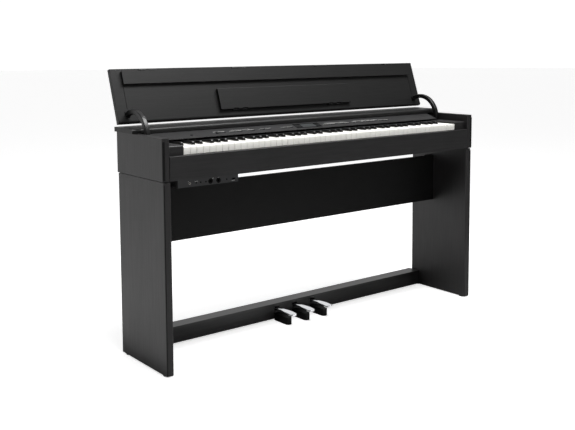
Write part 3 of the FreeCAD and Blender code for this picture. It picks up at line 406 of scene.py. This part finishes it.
@dataclass
class Keyboard:
    """The 88 keys, in the four groups of whites and four of blacks that move together."""

    pitch: float = 0.0235
    gap: float = 0.0019
    notch: float = 0.0070
    edge_round: float = 0.0014
    lip_depth: float = 0.009
    slab: float = 0.013
    black_setback: float = 0.050
    black_rise: float = 0.0103
    black_foot: float = 0.0120
    black_head: float = 0.0094
    black_slope: float = 0.0075
    black_tail: float = 0.078
    tail_drop: float = 0.004
    black_power: float = 5.5
    slope_power: float = 2.4
    # where a black key's front slope has ended, and how closely its stations crowd at the front
    level_from: float = 0.02
    crowd: float = 1.4
    # how far hidden faces run into the next piece, and how far the lip runs into the slab
    overlap: float = 0.001
    lip_weld: float = 1e-4
    whites: int = 52
    group: int = 13
    first_letter: int = 5
    # how far each black key stands off the joint before it, by the letter that it follows
    offsets: dict[int, float] = field(default_factory=lambda: {
        0: -0.0024, 1: 0.0024, 3: -0.0032, 4: 0.0, 5: 0.0032})

    def joints(self) -> tuple[Array, Array]:
        """Finds the black keys.

        Returns:
            The white key before each black key, and the black key's middle along X.
        """
        number = np.arange(self.whites - 1)
        letter = (number + self.first_letter) % 7
        has = np.isin(letter, list(self.offsets))
        shift = np.array([self.offsets.get(int(one), 0.0) for one in letter])
        middle = (number + 1 - self.whites // 2) * self.pitch + shift
        return number[has], middle[has]

    def white_rings(self, number: Array, low: Array, high: Array) -> list[Array]:
        """Stacks each white key's outline upwards, drawn in on a quarter circle at its top.

        Args:
            number: Which white keys, counted from the left.
            low: The group's lowest corner.
            high: Its highest corner.

        Returns:
            Rings of the keys' slabs, and rings of the lips under their fronts.
        """
        before, middle = self.joints()
        left = (number - self.whites // 2) * self.pitch + self.gap / 2
        right = left + self.pitch - self.gap
        slot_left = np.zeros(len(number))
        slot_right = np.zeros(len(number))
        for side, cuts in ((-1, slot_left), (0, slot_right)):
            at = np.searchsorted(before, number + side)
            at = np.clip(at, 0, len(before) - 1)
            has = before[at] == number + side
            edge = middle[at] + (self.notch if side else -self.notch)
            cuts[has] = (edge - left if side else right - edge)[has]
        front = np.full(len(number), low[1])
        back = np.full(len(number), high[1])
        turn = np.full(len(number), low[1] + self.black_setback - self.overlap)
        outline = np.stack([
            np.stack([left, front], -1), np.stack([right, front], -1),
            np.stack([right, turn], -1), np.stack([right - slot_right, turn], -1),
            np.stack([right - slot_right, back], -1), np.stack([left + slot_left, back], -1),
            np.stack([left + slot_left, turn], -1), np.stack([left, turn], -1)], 1)
        inwards = np.array([[1, 1], [-1, 1], [-1, -1], [-1, -1], [-1, -1], [1, -1], [1, -1],
                            [1, -1]])
        bend = np.linspace(0, np.pi / 2, 5)
        heights = np.concatenate([[high[2] - self.slab],
                                  high[2] - self.edge_round * (1 - np.sin(bend))])
        insets = np.concatenate([[0.0], self.edge_round * (1 - np.cos(bend))])
        flat = outline[:, None] + inwards[None, None] * insets[None, :, None, None]
        tall = np.broadcast_to(heights[None, :, None, None], (*flat.shape[:3], 1))
        lip_high = np.stack([right, front + self.lip_depth,
                             np.full(len(number), high[2] - self.slab + self.lip_weld)], -1)
        lip_low = np.stack([left, front, np.full(len(number), low[2])], -1)
        return [np.concatenate([flat, tall], -1), np.stack([lip_low, lip_high])]

    def black_rings(self, middle: Array, low: Array, high: Array) -> Array:
        """Lofts black keys: a rounded tapered section carried along Y, rising at the front.

        The section is a superellipse whose width falls evenly with height. Its top follows
        1 - (1 - t) ** slope_power over the front slope, and stays level behind it.

        Args:
            middle: The keys' middles along X.
            low: The group's lowest corner.
            high: Its highest corner.

        Returns:
            Rings, as keys by rings by points by three.
        """
        along = np.concatenate([np.linspace(0, 1, 9) ** self.crowd * self.black_slope,
                                [self.level_from, high[1] - low[1]]])
        white_top = high[2] - self.black_rise
        rise = 1 - (1 - np.clip(along / self.black_slope, 0, 1)) ** self.slope_power
        top = white_top - self.overlap + (high[2] - white_top + self.overlap) * rise
        tail = low[1] + self.black_tail
        top = np.where(low[1] + along > tail, white_top - self.tail_drop, top)
        ring = superellipse(24, self.black_power)
        height = low[2] + (top - low[2])[:, None] * (ring[None, :, 1] + 1) / 2
        share = (height - low[2]) / (high[2] - low[2])
        width = self.black_foot + (self.black_head - self.black_foot) * share
        across = width / 2 * ring[None, :, 0]
        flat = np.stack([across, np.broadcast_to((low[1] + along)[:, None], across.shape),
                         height], -1)
        return flat[None] + np.stack([middle, 0 * middle, 0 * middle], -1)[:, None, None]

    def build(self) -> None:
        """Makes each group and lets it stand for its CAD node."""
        before, middle = self.joints()
        for place in range(self.whites // self.group):
            number = np.arange(place * self.group, (place + 1) * self.group)
            name = f"white_keys_{place + 1}"
            low, high = low_high(name)
            slabs, lips = self.white_rings(number, low, high)
            piece = make_piece(f"{name}_rounded", [tubes(slabs), bricks(lips[0], lips[1], 0.0)],
                               IVORY_FEEL, name)
            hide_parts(name)
            name = f"black_keys_{place + 1}"
            low, high = low_high(name)
            chosen = middle[(before >= number[0]) & (before <= number[-1])]
            piece = make_piece(f"{name}_rounded", [tubes(self.black_rings(chosen, low, high))],
                               EBONY_FEEL, name)
            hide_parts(name)


# ---------------------------------------------------------------- pedals


@dataclass
class Pedals:
    """Three chromed levers with a domed top and a nose that turns down."""

    neck: float = 0.019
    width: float = 0.027
    nose: float = 0.017
    widest: float = 0.046
    narrows: float = 0.032
    thick: float = 0.007
    nose_power: float = 2.2
    nose_tilt: float = 0.06
    # how far the top and the underside fall at the nose, and over which length
    nose_fall: float = 0.0020
    fall_reach: float = 0.040
    nose_drop: float = 0.0046
    drop_start: float = 0.006
    drop_reach: float = 0.034
    # how far the nose's tip rises underneath, and how much thinner it is
    tip_lift: float = 0.0035
    tip_thin: float = 0.8
    dip_start: float = 0.076
    dip_reach: float = 0.028
    dip: float = 0.0010
    section_power: float = 3.4
    smooth_deg: float = 60.0

    def rings(self, low: Array, high: Array) -> Array:
        """Lofts one lever along Y.

        Its half width follows a quarter ellipse over the nose and then a smooth step from wide
        to neck. Its top and underside both fall by smooth steps towards the nose, and its top
        dips a little again before the rail. Each section is a superellipse, so the top is
        slightly domed.

        Args:
            low: The CAD lever's lowest corner.
            high: Its highest corner.

        Returns:
            Rings, as one tube.
        """
        long = high[1] - low[1]
        nose = self.nose * (1 - np.cos(np.linspace(self.nose_tilt, np.pi / 2, 12)))
        along = np.concatenate([nose, np.linspace(self.nose, long, 40)[1:]])
        part = np.clip(1 - along / self.nose, 0, 1)
        wide = self.width / 2 * np.sqrt(1 - part ** self.nose_power)
        slim = smooth_step((along - self.widest) / self.narrows)
        half = wide + (self.neck - self.width) / 2 * slim
        dip = smooth_step((along - self.dip_start) / self.dip_reach)
        level = high[2] - (high[2] - low[2] - self.thick) / 2
        fall = self.nose_fall * (1 - smooth_step(along / self.fall_reach))
        top = level - fall - self.dip * dip
        drop = self.nose_drop * (1 - smooth_step((along - self.drop_start) / self.drop_reach))
        bottom = level - self.thick - drop + self.tip_lift * part ** 2
        ring = superellipse(32, self.section_power)
        centre = (top + bottom) / 2
        tall = (top - bottom) / 2 * np.sqrt(1 - self.tip_thin * part ** 3)
        flat = np.stack([
            (low[0] + high[0]) / 2 + half[:, None] * ring[None, :, 0],
            np.broadcast_to((low[1] + along)[:, None], (len(along), len(ring))),
            centre[:, None] + tall[:, None] * ring[None, :, 1]], -1)
        return flat[None]

    def build(self) -> None:
        """Makes each lever and lets it stand for its CAD node."""
        for side in ("left", "middle", "right"):
            name = f"pedal_{side}"
            piece = make_piece(f"{name}_lever", [tubes(self.rings(*low_high(name)))], CHROME, name,
                               self.smooth_deg)
            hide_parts(name)


# ---------------------------------------------------------------- control panel and sockets


@dataclass
class ControlPanel:
    """The marks printed by the buttons, and the face behind the display's window."""

    slope_deg: float = 18.7
    lip: float = 0.0018
    label_row: float = 0.0270
    label_tall: float = 0.0024
    # how far a label starts before its button and ends behind it
    label_past: tuple[float, float] = (0.001, 0.002)
    # the headings over whole clusters: their insets at both ends, their rise and their height
    heading_inset: tuple[float, float] = (0.010, 0.012)
    heading_rise: float = 0.0062
    heading_tall: float = 0.0018
    # the slider's label: its start before the knob, its end behind it, its row and its height
    slider_past: tuple[float, float] = (0.006, 0.040)
    slider_row: float = 0.0300
    slider_tall: float = 0.0034
    stroke: tuple[float, float] = (0.0014, 0.0030)
    stroke_gap: float = 0.0009
    strokes_drawn: int = 40
    ink_lift: float = 0.00002
    ink: float = 0.00006
    # the display's face: its insets from the window's ends, and its rows and levels on the slope
    face_inset: tuple[float, float] = (0.030, 0.026)
    face_rows: tuple[float, float] = (0.014, 0.040)
    face_levels: tuple[float, float] = (0.00024, 0.0006)
    face_round: float = 0.0002

    def spans(self, node: str) -> Array:
        """Finds where each button of a cluster starts and ends along X.

        Args:
            node: The cluster's CAD node.

        Returns:
            Starts and ends, as buttons by two.
        """
        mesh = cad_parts[node].data
        flat = np.zeros(len(mesh.vertices) * 3)
        mesh.vertices.foreach_get("co", flat)
        return np.unique(np.round(flat.reshape(-1, 3)[:, 0], 5)).reshape(-1, 2)

    def on_slope(self, points: Array) -> Array:
        """Turns points drawn flat, with Y up the slope, to the panel's own place."""
        low, high = low_high("control_panel")
        turn = np.radians(self.slope_deg)
        along, off = points[:, 1], points[:, 2]
        return np.stack([points[:, 0], low[1] + along * np.cos(turn) - off * np.sin(turn),
                         low[2] + self.lip + along * np.sin(turn) + off * np.cos(turn)], -1)

    def strokes(self, start: float, end: float, row: float, tall: float,
                rng: np.random.Generator) -> Array:
        """Breaks one printed line into short blocks of uneven length.

        Args:
            start: Where the line starts along X.
            end: Where it ends.
            row: Its middle, up the slope.
            tall: Its height.
            rng: What draws the lengths.

        Returns:
            Blocks as rows of x0, y0, x1, y1.
        """
        lengths = rng.uniform(*self.stroke, self.strokes_drawn)
        right = start + np.cumsum(lengths + self.stroke_gap) - self.stroke_gap
        fits = right <= end
        left = right - lengths
        flat = np.full(len(left), row)
        return np.stack([left, flat - tall / 2, right, flat + tall / 2], -1)[fits]

    def labels(self) -> tuple[Array, list[list[int]]]:
        """Prints rows of plain blocks by the buttons, which stand for the small print there."""
        rng = np.random.default_rng(7)
        blocks = []
        for node in ("tone_buttons", "play_buttons", "song_buttons", "function_buttons"):
            for start, end in self.spans(node):
                blocks.append(self.strokes(start - self.label_past[0], end + self.label_past[1],
                                           self.label_row, self.label_tall, rng))
        for node in ("tone_buttons", "song_buttons", "function_buttons"):
            spans = self.spans(node)
            blocks.append(self.strokes(spans[0, 0] + self.heading_inset[0],
                                       spans[-1, 1] - self.heading_inset[1],
                                       self.label_row + self.heading_rise, self.heading_tall, rng))
        knob = low_high("volume_slider")[0][0]
        blocks.append(self.strokes(knob - self.slider_past[0], knob + self.slider_past[1],
                                   self.slider_row, self.slider_tall, rng))
        rows = np.concatenate(blocks)
        low = np.column_stack([rows[:, :2], np.full(len(rows), self.ink_lift)])
        high = np.column_stack([rows[:, 2:], np.full(len(rows), self.ink_lift + self.ink)])
        points, faces = bricks(low, high, 0.0)
        return self.on_slope(points), faces

    def build(self) -> None:
        """Makes the printed marks and the display's face."""
        make_piece("panel_print", [self.labels()], INK_AND_HIGHLIGHT, "frame")
        low, high = low_high("display_window")
        start = [low[0] + self.face_inset[0], self.face_rows[0], self.face_levels[0]]
        end = [high[0] - self.face_inset[1], self.face_rows[1], self.face_levels[1]]
        face = bricks(np.array([start]), np.array([end]), self.face_round)
        make_piece("display_face", [(self.on_slope(face[0]), face[1])], DISPLAY_FACE, "frame")


@dataclass
class Sockets:
    """Turned collars round the jacks, small dots beside them, the marks on the box, and a painted
    highlight under its port.
    """

    large: tuple[float, ...] = (-0.526, -0.497)
    small: float = -0.601
    dots: tuple[float, ...] = (-0.578, -0.562, -0.543, -0.466)
    # each profile runs outwards, as radii and how far the surface stands proud
    collar: tuple[tuple[float, float], ...] = (
        (0.0034, 0.0), (0.0036, 0.0002), (0.0048, 0.0003), (0.0076, 0.0003), (0.0084, 0.0001),
        (0.0084, 0.0))
    ring: tuple[tuple[float, float], ...] = (
        (0.0019, 0.0), (0.0020, 0.0002), (0.0028, 0.0003), (0.0036, 0.0002), (0.0037, 0.0))
    dot: tuple[tuple[float, float], ...] = (
        (0.00002, 0.0002), (0.0018, 0.0002), (0.0024, 0.0001), (0.0026, 0.0))
    columns: int = 40
    sink: float = 0.00001
    # marks, the last one a painted highlight under the port: where each starts along X, how far
    # over the jacks' middle, and how wide it is
    mark_and_highlight_spots: tuple[tuple[float, float, float], ...] = (
        (-0.607, 0.0048, 0.0034), (-0.583, 0.0030, 0.0048), (-0.576, 0.0042, 0.0030),
        (-0.520, 0.0078, 0.0060), (-0.500, 0.0078, 0.0060), (-0.447, -0.0066, 0.0100))
    ink_proud: float = 0.00006
    ink_thick: float = 0.00004
    mark_tall: float = 0.0011

    def turned(self, profile: tuple[tuple[float, float], ...], x: float, y: float,
               z: float) -> tuple[Array, list[list[int]]]:
        """Turns a profile about an axis along Y: each of its points becomes a circle.

        Args:
            profile: Radii and how far each point stands proud.
            x: The axis's place along X.
            y: The box's front face.
            z: The axis's height.

        Returns:
            Points and faces, closed by a strip from the last circle to the first.
        """
        turn = np.linspace(0, 2 * np.pi, self.columns, endpoint=False)
        radius, proud = np.array(profile).T[:, :, None]
        rows = len(profile)
        spot = np.stack([x + radius * np.cos(turn),
                         np.broadcast_to(y + self.sink - proud, (rows, self.columns)),
                         z + radius * np.sin(turn)], -1)
        faces = strip_faces(1, rows, self.columns).tolist()
        back = (np.arange(self.columns)[:, None] + np.array([0, 1])) % self.columns
        faces += np.column_stack([back, back[:, ::-1] + (rows - 1) * self.columns]).tolist()
        return spot.reshape(-1, 3), faces

    def marks(self, y: float, z: float) -> tuple[Array, list[list[int]]]:
        """Prints plain blocks by the sockets, as a stand-in for the symbols there, and one pale
        block under the port as a painted highlight.
        """
        start, over, wide = np.array(self.mark_and_highlight_spots).T
        low = np.column_stack([start, 0 * start + y - self.ink_proud, z + over])
        high = low + np.column_stack([wide, 0 * start + self.ink_thick,
                                      0 * start + self.mark_tall])
        return bricks(low, high, 0.0)

    def build(self) -> None:
        """Makes the collars, the dots, the marks and the painted highlight."""
        low, _ = low_high("jack_box")
        jack_low, jack_high = low_high("phone_jacks")
        y, z = low[1], (jack_low[2] + jack_high[2]) / 2
        for name, profile, places, finish, slot in (
                ("jack_collars", self.collar, self.large, SOCKET_ABS, "panel_black"),
                ("small_jack_ring", self.ring, (self.small,), NICKEL, "steel"),
                ("socket_dots", self.dot, self.dots, SOCKET_ABS, "panel_black")):
            turned = [self.turned(profile, x, y, z) for x in places]
            make_piece(name, turned, finish, "frame")
        make_piece("socket_marks_and_highlight", [self.marks(y, z)], INK_AND_HIGHLIGHT, "frame")


# ---------------------------------------------------------------- painted corner shade


@dataclass
class CornerShade:
    """Painted shade: thin dark strips down the outer front corners of the sides and the legs, where
    their rounded edges fall into shade.
    """

    widths: tuple[tuple[str, float], ...] = (("side", 0.0080), ("leg", 0.0030))
    thick: float = 0.0006
    proud: float = 0.0002
    inset: float = 0.0004
    clear_below: float = 0.003
    clear_above: float = 0.010

    def build(self) -> None:
        """Lays one strip of painted shade on each board's front edge, at its outer corner."""
        for board, width in self.widths:
            shade_strips = []
            for hand in ("left", "right"):
                low, high = low_high(f"{board}_{hand}")
                outer = (low[0] + self.inset if hand == "left"
                         else high[0] - self.inset - width)
                start = np.array([[outer, low[1] - self.proud, low[2] + self.clear_below]])
                end = np.array([[outer + width, low[1] + self.thick,
                                 high[2] - self.clear_above]])
                shade_strips.append(bricks(start, end, 0.0))
            # dark strips that paint the shade of the rounded corners
            make_piece(f"{board}_corner_painted_shade", shade_strips, SUPPORT_ABS_AND_CORNER_SHADE, "frame")


# ---------------------------------------------------------------- studio


class Seen(Enum):
    """Which rays meet a part of the set: the camera's, the scattered and the mirrored ones."""

    CAMERA = (True, False, False)
    MIRROR = (False, False, True)
    LIGHT = (False, True, True)


@dataclass
class Studio:
    """The pale floor and backdrop, the soft lights and the camera."""

    place: tuple[float, float, float] = (-1.95533, -2.39416, 0.99492)
    yaw: float = 0.6620
    pitch: float = 0.0934
    roll: float = -0.0051
    lens_mm: float = 54.031
    shift_y: float = -0.15
    dim: float = 0.07
    # where the room glows: towards which side, over which cosines, and how much
    glows: tuple[tuple[tuple[float, float, float], float, float, float], ...] = (
        ((-0.1, 0.98, 0.1), 0.2, 0.6, 0.80), ((0.70, -0.70, 0.05), 0.3, 0.9, 0.16))
    sensor_mm: float = 36.0
    floor_reach: float = 45.0
    floor_glow: float = 0.67
    # what the boards' gloss sees of the floor: grey in front, white behind and on the left
    sheets: tuple[tuple[str, tuple[float, float], tuple[float, float], str, float], ...] = (
        ("floor_front", (-0.75, 20), (-20, 0.3), "#b0b0b0", 0.0),
        ("floor_behind", (-0.75, 20), (0.3, 20), "#c8c8c8", 0.5),
        ("floor_left", (-20, -0.75), (-20, 20), "#c8c8c8", 0.5))
    # each flat sheet lies a little lower than the one that the camera sees: floor, bounce, sheets
    depths: tuple[float, float, float] = (0.0002, 0.0003, 0.0004)
    bounce_half: tuple[float, float] = (0.30, 0.16)
    bounce_y: float = -0.24
    bounce_glow: float = 0.8
    dome_reach: float = 40.0
    dome_span: tuple[float, float] = (-0.2, np.pi / 2 - 0.01)
    dome_glow: float = 1.05
    key_size: tuple[float, float] = (2.6, 1.0)
    key_place: tuple[float, float, float] = (0.2, -0.75, 2.9)
    key_aim: tuple[float, float, float] = (0.0, -0.1, 0.6)
    key_watts: float = 112.0
    matt: float = 0.9

    def camera(self) -> None:
        """Sets the camera from its heading, dip and roll."""
        ahead = Vector((np.sin(self.yaw) * np.cos(self.pitch),
                        np.cos(self.yaw) * np.cos(self.pitch), -np.sin(self.pitch)))
        across = Vector((np.cos(self.yaw), -np.sin(self.yaw), 0))
        up = across.cross(ahead)
        right = across * np.cos(self.roll) + up * np.sin(self.roll)
        top = up * np.cos(self.roll) - across * np.sin(self.roll)
        data = bpy.data.cameras.new("camera")
        data.lens, data.sensor_width, data.shift_y = self.lens_mm, self.sensor_mm, self.shift_y
        item = bpy.data.objects.new("camera", data)
        bpy.context.scene.collection.objects.link(item)
        turn = Matrix((right, top, -ahead)).transposed().to_4x4()
        item.matrix_world = Matrix.Translation(Vector(self.place)) @ turn
        bpy.context.scene.camera = item

    def set_piece(self, name: str, points: Array, faces: list[list[int]], shade: str, glow: float,
                  seen: Seen) -> None:
        """Puts up a part of the set.

        Args:
            name: Its name.
            points: Its corners.
            faces: Its faces.
            shade: Its colour as hex.
            glow: How brightly it shines by itself.
            seen: Which rays meet it.
        """
        mesh = bpy.data.meshes.new(name)
        mesh.from_pydata(points.tolist(), [], faces)
        item = bpy.data.objects.new(name, mesh)
        bpy.context.scene.collection.objects.link(item)
        paint = bpy.data.materials.new(name)
        paint.use_nodes = True
        shader = paint.node_tree.nodes["Principled BSDF"]
        shader.inputs["Base Color"].default_value = linear(shade)
        shader.inputs["Roughness"].default_value = self.matt
        shader.inputs["Emission Color"].default_value = (1, 1, 1, 1)
        shader.inputs["Emission Strength"].default_value = glow
        mesh.materials.append(paint)
        item.visible_camera, item.visible_diffuse, item.visible_glossy = seen.value
        item.visible_transmission = item.visible_shadow = False

    def light(self, name: str, size: tuple[float, float], place: Vector, aim: Vector,
              watts: float) -> None:
        """Hangs a soft box.

        Args:
            name: Its name.
            size: Width and height.
            place: Its middle.
            aim: The point that it looks at.
            watts: Its power.
        """
        data = bpy.data.lights.new(name, "AREA")
        data.shape, data.size, data.size_y, data.energy = "RECTANGLE", *size, watts
        item = bpy.data.objects.new(name, data)
        bpy.context.scene.collection.objects.link(item)
        item.matrix_world = (Matrix.Translation(place)
                             @ (place - aim).to_track_quat("Z", "Y").to_matrix().to_4x4())
        item.visible_camera = False

    def surround(self) -> None:
        """Lights the room: bright behind the piano, softer to the front right, dim elsewhere."""
        world = bpy.data.worlds.new("studio")
        world.use_nodes = True
        tree = world.node_tree
        way = add_node(tree, "ShaderNodeTexCoord").outputs["Generated"]
        total: Any = self.dim
        for towards, low, high, extra in self.glows:
            facing = add_node(tree, "ShaderNodeVectorMath", {"operation": "DOT_PRODUCT"},
                              {0: way, 1: towards})
            share = add_node(tree, "ShaderNodeMapRange", {"interpolation_type": "SMOOTHSTEP"}, {
                "Value": facing.outputs["Value"], "From Min": low, "From Max": high,
                "To Max": extra})
            total = add_node(tree, "ShaderNodeMath", {"operation": "ADD"},
                             {0: share.outputs["Result"], 1: total}).outputs[0]
        tree.nodes["Background"].inputs["Color"].default_value = (1, 1, 1, 1)
        tree.links.new(total, tree.nodes["Background"].inputs["Strength"])
        bpy.context.scene.world = world

    def build(self) -> None:
        """Makes the room, the floor, the backdrop, the lights and the camera."""
        bpy.context.scene.view_settings.view_transform = "Standard"
        self.surround()
        square = np.array([[-1, -1, 0], [1, -1, 0], [1, 1, 0], [-1, 1, 0]], float)
        low, lower, lowest = self.depths
        self.set_piece("floor", square * self.floor_reach - np.array([0, 0, low]), [[0, 1, 2, 3]],
                       "#e6e6e6", self.floor_glow, Seen.CAMERA)
        for name, x, y, shade, glow in self.sheets:
            corners = np.array([[x[i], y[j], -lowest] for i, j in ((0, 0), (1, 0), (1, 1), (0, 1))])
            self.set_piece(name, corners, [[0, 1, 2, 3]], shade, glow, Seen.LIGHT)
        # a white sheet that only the chrome and the boards' gloss can show
        self.set_piece("pedal_bounce", square * np.array([*self.bounce_half, 0])
                       + np.array([0.0, self.bounce_y, -lower]), [[0, 1, 2, 3]], "#ffffff",
                       self.bounce_glow, Seen.MIRROR)
        around, up = np.meshgrid(np.linspace(0, 2 * np.pi, 48, endpoint=False),
                                 np.linspace(*self.dome_span, 14))
        dome = self.dome_reach * np.stack([np.cos(around) * np.cos(up),
                                           np.sin(around) * np.cos(up), np.sin(up)], -1)
        points, faces = tubes(dome[None])
        self.set_piece("backdrop", points, faces, "#000000", self.dome_glow, Seen.CAMERA)
        self.light("key_above", self.key_size, Vector(self.key_place), Vector(self.key_aim),
                   self.key_watts)
        self.camera()


def main() -> None:
    """Builds the looks in order and reports each piece."""
    logging.basicConfig(level=logging.INFO, format="%(message)s")
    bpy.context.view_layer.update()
    Studio().build()
    for finish, nodes in CARRIED.items():
        for node in nodes:
            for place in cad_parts[node].material_slots:
                place.material = finish.material()
    for part in (Keyboard(), Pedals(), ControlPanel(), Sockets(), CornerShade()):
        part.build()
        LOG.info("%s done", type(part).__name__)


if __name__ == "__main__":
    main()
